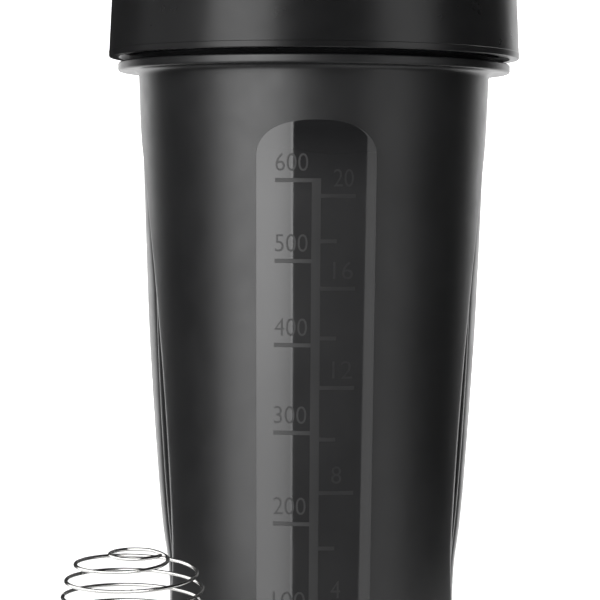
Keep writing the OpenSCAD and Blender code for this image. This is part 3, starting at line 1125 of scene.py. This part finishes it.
def glowing_floor_paper():
    """Pale paper with a painted glow that grows away from the object, and whose far part shows in no
    reflection.
    """
    m, nt, bsdf, coord = new_material("glowing_floor_paper")
    fibre = noise(nt, coord, 240.0, 5.0)
    tint(nt, bsdf, spread(nt, fibre.outputs["Fac"], 0.0, 1.0), (0.90, 0.90, 0.90), (0.93, 0.93, 0.93))
    bsdf.inputs["Roughness"].default_value = 0.7
    bsdf.inputs["Specular IOR Level"].default_value = 0.2
    bump(nt, bsdf, [(fibre.outputs["Fac"], 0.05, 0.0002)])
    # Painted light: the paper glows, more strongly the farther it lies from the object
    apart = nt.nodes.new("ShaderNodeVectorMath")
    apart.operation = "LENGTH"
    nt.links.new(coord.outputs["Object"], apart.inputs[0])
    glow = map_range(nt, apart.outputs["Value"], 0.12, 1.1, 0.0, 0.95)
    glow.interpolation_type = "SMOOTHSTEP"
    bsdf.inputs["Emission Color"].default_value = (1, 1, 1, 1)
    nt.links.new(glow.outputs["Result"], bsdf.inputs["Emission Strength"])
    far = map_range(nt, apart.outputs["Value"], 0.11, 0.17)
    path = nt.nodes.new("ShaderNodeLightPath")
    gate = arithmetic(nt, "MULTIPLY", far.outputs["Result"], path.outputs["Is Glossy Ray"])
    clear = nt.nodes.new("ShaderNodeBsdfTransparent")
    mix = nt.nodes.new("ShaderNodeMixShader")
    nt.links.new(gate, mix.inputs[0])
    nt.links.new(bsdf.outputs["BSDF"], mix.inputs[1])
    nt.links.new(clear.outputs["BSDF"], mix.inputs[2])
    nt.links.new(mix.outputs["Shader"], nt.nodes["Material Output"].inputs["Surface"])
    return m


# The floor in metres: half its width, where it starts to curve up, the curve's radius and its top
FLOOR_HALF = 3.2
CURVE_FROM = 1.6
CURVE_R = 0.8
BACKDROP_TOP = 3.2
FLOOR_DROP = 0.0004
FLOOR_COLS = 12


def make_floor():
    """A pale floor that curves up far behind into a backdrop."""
    rows = [(-3.0, 0.0), (-1.0, 0.0), (0.0, 0.0), (1.0, 0.0)]
    rows += arc(CURVE_FROM, CURVE_R, CURVE_R, -90, 0, 15)
    rows += [(CURVE_FROM + CURVE_R, BACKDROP_TOP / 2), (CURVE_FROM + CURVE_R, BACKDROP_TOP)]
    verts = []
    for y, z in rows:
        for j in range(FLOOR_COLS + 1):
            verts.append((FLOOR_HALF * (2 * j / FLOOR_COLS - 1), y, z - FLOOR_DROP))
    me = bpy.data.meshes.new("studio_floor")
    me.from_pydata(verts, [], grid_faces(len(rows) - 1, FLOOR_COLS))
    for p in me.polygons:
        p.use_smooth = True
    ob = bpy.data.objects.new("studio_floor", me)
    bpy.context.scene.collection.objects.link(ob)
    me.materials.append(glowing_floor_paper())
    return ob


floor = make_floor()


# Height of the upright lights' middles, and the height that every light faces
MID_HEIGHT = 0.10


def softbox(name, azimuth, distance, width, tall, power, height=MID_HEIGHT):
    """A rectangular light that faces the cup, in metres and watts. Azimuth 0 is the camera's side."""
    li = bpy.data.lights.new(name, "AREA")
    li.shape = "RECTANGLE"
    li.size = width
    li.size_y = tall
    li.energy = power
    ob = bpy.data.objects.new(name, li)
    a = math.radians(azimuth)
    place = Vector((distance * math.sin(a), -distance * math.cos(a), height))
    aim = Vector((0, 0, MID_HEIGHT)) - place
    ob.matrix_world = Matrix.Translation(place) @ aim.to_track_quat("-Z", "Y").to_matrix().to_4x4()
    bpy.context.scene.collection.objects.link(ob)
    return ob


def curve_of(nt, source, stops):
    """A curve through its stops, each (input, output) within 0 to 1."""
    curve = nt.nodes.new("ShaderNodeFloatCurve")
    nt.links.new(source, curve.inputs["Value"])
    points = curve.mapping.curves[0].points
    points[0].location = stops[0]
    points[1].location = stops[-1]
    for x, y in stops[1:-1]:
        points.new(x, y)
    curve.mapping.update()
    return curve.outputs["Value"]


def graded(ob, along, up):
    """Varies a rectangular light's strength across its width and its height; stops run over 0 to 1."""
    li = ob.data
    li.use_nodes = True
    nt = li.node_tree
    place = nt.nodes.new("ShaderNodeNewGeometry")
    split = nt.nodes.new("ShaderNodeSeparateXYZ")
    nt.links.new(place.outputs["Parametric"], split.inputs["Vector"])
    across = curve_of(nt, split.outputs["X"], along)
    both = arithmetic(nt, "MULTIPLY", across, curve_of(nt, split.outputs["Y"], up))
    nt.links.new(both, nt.nodes["Emission"].inputs["Strength"])


def only_on(ob, pieces):
    """Lets a light fall on the named pieces only."""
    group = bpy.data.collections.new(ob.name + "_targets")
    for piece in pieces:
        group.objects.link(piece)
    ob.light_linking.receiver_collection = group


# The bright key on the left, graded as its mirror image in the scale panel shows
key = softbox("key_left", -38, 1.1, width=0.984, tall=1.9, power=36.5)
key_along = [(0.0, 0.81), (0.4, 0.87), (0.7, 0.86), (0.9, 0.71), (0.965, 0.64), (0.98, 0.90), (1.0, 0.92)]
graded(key, key_along, [(0.0, 0.55), (0.37, 0.67), (0.48, 1.0), (1.0, 1.0)])
key_lid = softbox("key_lid", -41, 1.1, width=0.72, tall=1.9, power=14.2)
card_lid = softbox("card_lid", -90, 1.1, width=0.9, tall=1.9, power=1.5)
fill = softbox("fill_right", 50.5, 1.3, width=0.78, tall=1.9, power=5.4)
wash = softbox("top_wash", 150, 1.2, width=1.6, tall=1.2, power=26, height=1.5)
rim_left = softbox("rim_left", -157, 1.5, width=1.15, tall=2.2, power=18.5)
rim_right = softbox("rim_right", 157, 1.5, width=1.15, tall=2.2, power=18.5)
rim_lid = softbox("rim_lid", 159, 1.5, width=1.0, tall=2.2, power=9.5)
for ob in (rim_left, rim_right, rim_lid):
    ob.visible_camera = False
ball_front = softbox("ball_front", -20, 0.95, width=2.2, tall=1.8, power=24.0, height=0.40)
ball_side = softbox("ball_side", -100, 0.9, width=1.1, tall=1.2, power=7.0, height=0.25)

# The cup, the lid and the whisk each have lights of their own
low_pieces = [cup, cup_thread, panel, bars, numerals, floor]
high_pieces = [ob for ob in bpy.data.objects if ob.type == "MESH" and ob not in low_pieces + [ball]]
for ob in (key, rim_left, rim_right):
    only_on(ob, low_pieces)
for ob in (key_lid, card_lid, rim_lid):
    only_on(ob, high_pieces)
for ob in (fill, wash):
    only_on(ob, low_pieces + high_pieces)
for ob in (ball_front, ball_side):
    only_on(ob, [ball])


def make_world():
    """Dim for reflections and a little brighter far behind the cup, but white where the camera sees it."""
    world = bpy.data.worlds.new("studio")
    bpy.context.scene.world = world
    world.use_nodes = True
    nt = world.node_tree
    direction = nt.nodes.new("ShaderNodeTexCoord")
    split = nt.nodes.new("ShaderNodeSeparateXYZ")
    nt.links.new(direction.outputs["Generated"], split.inputs["Vector"])
    behind = map_range(nt, split.outputs["Y"], 0.5, 1.0, 0.012, 0.03)
    seen = nt.nodes.new("ShaderNodeLightPath")
    strength = arithmetic(nt, "MAXIMUM", behind.outputs["Result"], seen.outputs["Is Camera Ray"])
    background = nt.nodes["Background"]
    nt.links.new(strength, background.inputs["Strength"])
    background.inputs["Color"].default_value = (1, 1, 1, 1)


# The camera: its lens and sensor in mm, its distance and height in metres, its angles in degrees
LENS = 156.0
SENSOR = 36.0
CAMERA_DISTANCE = 0.6565
CAMERA_HEIGHT = 0.1255
CAMERA_TURN = 1.1
CAMERA_PAN = 0.26885
CAMERA_DOWN = 2.09257
CAMERA_ROLL = 0.4


def make_camera():
    """A camera at the photograph's viewing angle, a little above the bottle's middle and tipped down."""
    cam = bpy.data.cameras.new("camera")
    cam.sensor_width = SENSOR
    cam.lens = LENS
    cam.clip_start = 0.05
    cam.clip_end = 30.0
    ob = bpy.data.objects.new("camera", cam)
    bpy.context.scene.collection.objects.link(ob)
    turn = math.radians(CAMERA_TURN)
    down = math.radians(CAMERA_DOWN)
    roll = math.radians(CAMERA_ROLL)
    eye = Vector((-CAMERA_DISTANCE * math.sin(turn), -CAMERA_DISTANCE * math.cos(turn), CAMERA_HEIGHT))
    ahead = Vector((math.sin(turn), math.cos(turn), 0))
    ahead.rotate(Matrix.Rotation(math.radians(CAMERA_PAN), 3, "Z"))
    right = Vector((ahead.y, -ahead.x, 0)).normalized()
    look = (ahead * math.cos(down) - Vector((0, 0, 1)) * math.sin(down)).normalized()
    up = right.cross(look).normalized()
    right = (right * math.cos(roll) + up * math.sin(roll)).normalized()
    up = right.cross(look).normalized()
    ob.matrix_world = Matrix.Translation(eye) @ Matrix((right, up, -look)).transposed().to_4x4()
    bpy.context.scene.camera = ob


make_world()
make_camera()
bpy.context.scene.view_settings.view_transform = "Standard"
